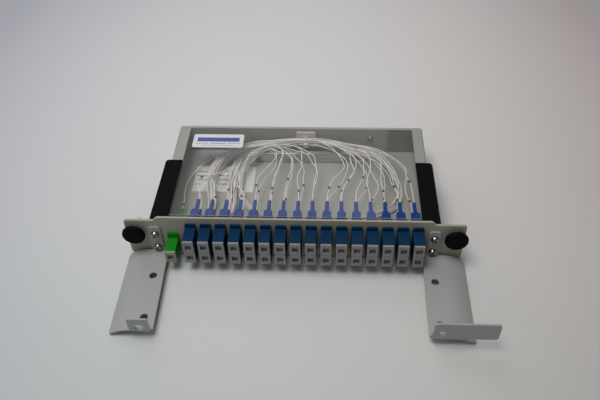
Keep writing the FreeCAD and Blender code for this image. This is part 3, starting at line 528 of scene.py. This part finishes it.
def loose(col, row):
    """the same route with the strand lying a little off its lane and the bundle
    slackening away from the tie"""
    rng = random.Random(37 * col + 1009 * row + 5)
    pts = route(col, row)
    m = DROPS[col][2]
    ph = [rng.uniform(0, 6.283) for _ in range(6)]
    out = []
    for i, (x, y, z) in enumerate(pts):
        last = len(pts) - 1 - i
        near = y > 112 and abs(x - 5.3) < 15 and i < m
        if i < m:
            ax, az = ((2.6, 1.6) if x > 45 else (1.7, 1.2)) if i > 3 else (0.5, 0.4)
            if y < 50:
                ax, az = 0.6, 0.3
        else:
            ax, az = (5.8, 2.8) if col > 9 else (4.0, 2.2) if col > 2 else (3.0, 1.8)
        if i == 0 or last == 0:
            ax = az = 0.0
        elif i == 1 or last == 1:
            ax, az = 0.3, 0.2
        if near:
            ax, az = (0.12, 0.12) if abs(x - 5.3) < 5 else (0.6, 0.5)
        if col > 4 and 3 < i < m and not near and y > 50:
            c = WHOLE[i]
            k, kz = (2.0, 1.3) if x > 50 else (1.6, 1.45)
            sag = 1.4 if y > 118 and -62 < x < 62 and i < len(MAIN) else 0.0
            x, y, z = c[0] + (x - c[0]) * k, c[1] + (y - c[1]) * k - sag, 9.0 + c[2] + (z - 9.0 - c[2]) * kz - sag
        if col <= 2 and i >= m - 1 and last > 1:
            # the two outermost columns hang out to the left
            swing = 6.6 * math.sin(math.pi * (i - m + 2) / (len(pts) - m + 1))
            x, y = x - swing, y + 0.2 * swing
        dx, dy, dz = (0.65 * math.sin(ph[k] + (0.75 + 0.2 * math.sin(ph[3 + k])) * i) + 0.45 * rng.uniform(-1, 1) for k in range(3))
        x, y, z = x + ax * dx, y + ax * dy, z + az * dz
        y = min(y, 131.2 if abs(x - 5.3) > 14 else 129.4)
        z = max(5.75, min(31.9, z))
        if y < 50 and i < m:
            z = min(z, 12.3)
        if -46 < x < 48 and 112.9 < y < 121.1 and i > 2:
            z = max(z, 17.6)
        out.append((x, y, z))
    return out


def fibres(name, routes, node):
    cu = bpy.data.curves.new(name, "CURVE")
    cu.dimensions = "3D"
    cu.bevel_depth = 0.00045
    cu.bevel_resolution = 2
    cu.resolution_u = 6
    cu.use_fill_caps = True
    for pts in routes:
        sp_ = cu.splines.new("NURBS")
        sp_.points.add(len(pts) - 1)
        for q, p in zip(sp_.points, pts):
            w = W(*p)
            q.co = (w.x, w.y, w.z, 1)
        sp_.order_u = 3
        sp_.use_endpoint_u = True
        sp_.use_smooth = True
    o = bpy.data.objects.new(name, cu)
    bpy.context.scene.collection.objects.link(o)
    cu.materials.append(FIBRE)
    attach(o, ROOT)
    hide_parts(node)
    return o


fibres("jackets_left_upper", [loose(c, 0) for c in range(1, 9)], "fibres_left_upper")
fibres("jackets_left_lower", [loose(c, 1) for c in range(1, 9)], "fibres_left_lower")
fibres("jackets_right_upper", [loose(c, 0) for c in range(9, 17)], "fibres_right_upper")
fibres("jackets_right_lower", [loose(c, 1) for c in range(9, 17)], "fibres_right_lower")
fibres("jacket_input", [INPUT], "input_fibre")



# number sleeves, threaded on the strands
def strand_line(pts):
    """points along the smooth curve of one strand"""
    cu = bpy.data.curves.new("probe", "CURVE")
    cu.dimensions = "3D"
    cu.resolution_u = 12
    sp_ = cu.splines.new("NURBS")
    sp_.points.add(len(pts) - 1)
    for q, p in zip(sp_.points, pts):
        w = W(*p)
        q.co = (w.x, w.y, w.z, 1)
    sp_.order_u = 3
    sp_.use_endpoint_u = True
    o = bpy.data.objects.new("probe", cu)
    bpy.context.scene.collection.objects.link(o)
    bpy.context.view_layer.update()
    me = bpy.data.meshes.new_from_object(o)
    line = [v.co.copy() for v in me.vertices]
    bpy.data.objects.remove(o)
    bpy.data.meshes.remove(me)
    return line


def place_on(line, want):
    """point and direction at a distance along the line"""
    for i in range(len(line) - 1):
        L = (line[i + 1] - line[i]).length
        if want <= L or i == len(line) - 2:
            return line[i].lerp(line[i + 1], min(1.0, want / L)), (line[i + 1] - line[i]).normalized()
        want -= L


# column (0 is the input), row, distance along the fibre from its boot in mm
SLEEVES = [
    (1, 0, 37), (1, 1, 50), (2, 1, 16), (3, 0, 14), (4, 0, 5), (4, 1, 28), (5, 0, 19), (5, 1, 24), (6, 0, 16), (6, 1, 23), (7, 0, 27), (7, 1, 14),
    (8, 0, 13), (8, 1, 32), (9, 1, 14), (10, 0, 17), (10, 1, 35), (11, 0, 29), (11, 1, 25), (12, 0, 31), (12, 1, 34), (13, 1, 17), (14, 0, 14),
    (14, 1, 18), (15, 0, 21), (15, 1, 15), (16, 0, 28), (16, 1, 15), (0, 0, 6)]
sv, sf = [], []
RIM = 16
for col, row, dist in SLEEVES:
    line = strand_line(loose(col, row))[::-1] if col else strand_line(INPUT)
    c, d = place_on(line, dist / 1000)
    q = d.to_track_quat("Z", "Y")
    base_i = len(sv)
    for r, z in ((0.00062, -0.0012), (0.00095, -0.0012), (0.00095, 0.0012), (0.00062, 0.0012)):
        for k in range(RIM):
            t = 2 * math.pi * k / RIM
            sv.append(c + q @ Vector((r * math.cos(t), r * math.sin(t), z)))
    for l in range(4):
        for k in range(RIM):
            k2, l2 = (k + 1) % RIM, (l + 1) % 4
            sf.append((base_i + l * RIM + k, base_i + l * RIM + k2, base_i + l2 * RIM + k2, base_i + l2 * RIM + k))
if sv:
    sleeves = mesh_object("number_sleeves", sv, sf, [SLEEVE])
    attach(sleeves, ROOT)
    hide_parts("fibre_markers")

# ---------------------------------------------------------------- the studio
floor = mesh_object("studio_floor", [(-3, -3, -0.0002), (3, -3, -0.0002), (3, 4, -0.0002), (-3, 4, -0.0002)], [(0, 1, 2, 3)], [])
fm_ = Mat("floor")
nz = fm_.noise(0.8, 2.0)
sep = fm_.node("ShaderNodeSeparateXYZ")
fm_.link(fm_.coords(), sep.inputs[0])
fx = fm_.math("SUBTRACT", sep.outputs[0], OX)
fy = fm_.math("SUBTRACT", sep.outputs[1], OY)
rgb = fm_.node("ShaderNodeCombineXYZ")
# painted light falloff: the table's colour is lightest in the middle and darkens outwards, standing in for the lamp's
# light falling off
for i, (k0, kx, ky, kxx, kyy, kxy) in enumerate(((0.9295, 0.0082, 0.7155, -2.3226, -1.057, -0.0451),
                                                 (0.9336, -0.1217, 0.6258, -2.504, -0.9331, -0.056),
                                                 (0.9226, -0.2152, 0.6296, -2.2364, -0.9113, -0.0359))):
    s = fm_.math("MULTIPLY_ADD", fx, kx, k0)
    s = fm_.math("MULTIPLY_ADD", fy, ky, s)
    s = fm_.math("MULTIPLY_ADD", fm_.math("MULTIPLY", fx, fx), kxx, s)
    s = fm_.math("MULTIPLY_ADD", fm_.math("MULTIPLY", fy, fy), kyy, s)
    s = fm_.math("MULTIPLY_ADD", fm_.math("MULTIPLY", fx, fy), kxy, s)
    s = fm_.math("MINIMUM", fm_.math("MAXIMUM", s, 0.66), 1.2)
    fm_.link(fm_.math("MULTIPLY", s, fm_.math("MULTIPLY_ADD", nz, 0.03, 0.715)), rgb.inputs[i])
floor.data.materials.append(fm_.done(fm_.bsdf(rgb.outputs[0], 0.75, spec=0.2)))


def area(name, pos, target, size, power, color=(1, 1, 1)):
    l = bpy.data.lights.new(name, "AREA")
    l.shape = "RECTANGLE"
    l.size, l.size_y = size
    l.energy = power
    l.color = color
    o = bpy.data.objects.new(name, l)
    o.location = pos
    d = Vector(target) - Vector(pos)
    o.rotation_euler = d.to_track_quat("-Z", "Y").to_euler()
    bpy.context.scene.collection.objects.link(o)
    return o


area("key", (-0.34, -0.14, 1.55), (0.0, 0.0, 0.0), (0.8, 0.8), 14.6, (1.0, 0.99, 0.975))
area("fill", (-0.8, -1.1, 0.9), (0.0, 0.0, 0.0), (1.0, 1.0), 1.4, (0.97, 0.98, 1.0))
# the bright wall behind, seen as a veil in the clear cover
area("wall", (-1.36, 1.97, 2.0), (-1.36, 0.0, 2.0), (3.28, 2.4), 20.0, (1.0, 1.0, 1.0))
world = bpy.data.worlds.new("world")
world.use_nodes = True
world.node_tree.nodes["Background"].inputs[0].default_value = (0.95, 0.97, 1.0, 1)
world.node_tree.nodes["Background"].inputs[1].default_value = 0.155
bpy.context.scene.world = world
bpy.context.scene.view_settings.view_transform = "Standard"
bpy.context.scene.view_settings.exposure = 0.0

bpy.context.view_layer.update()
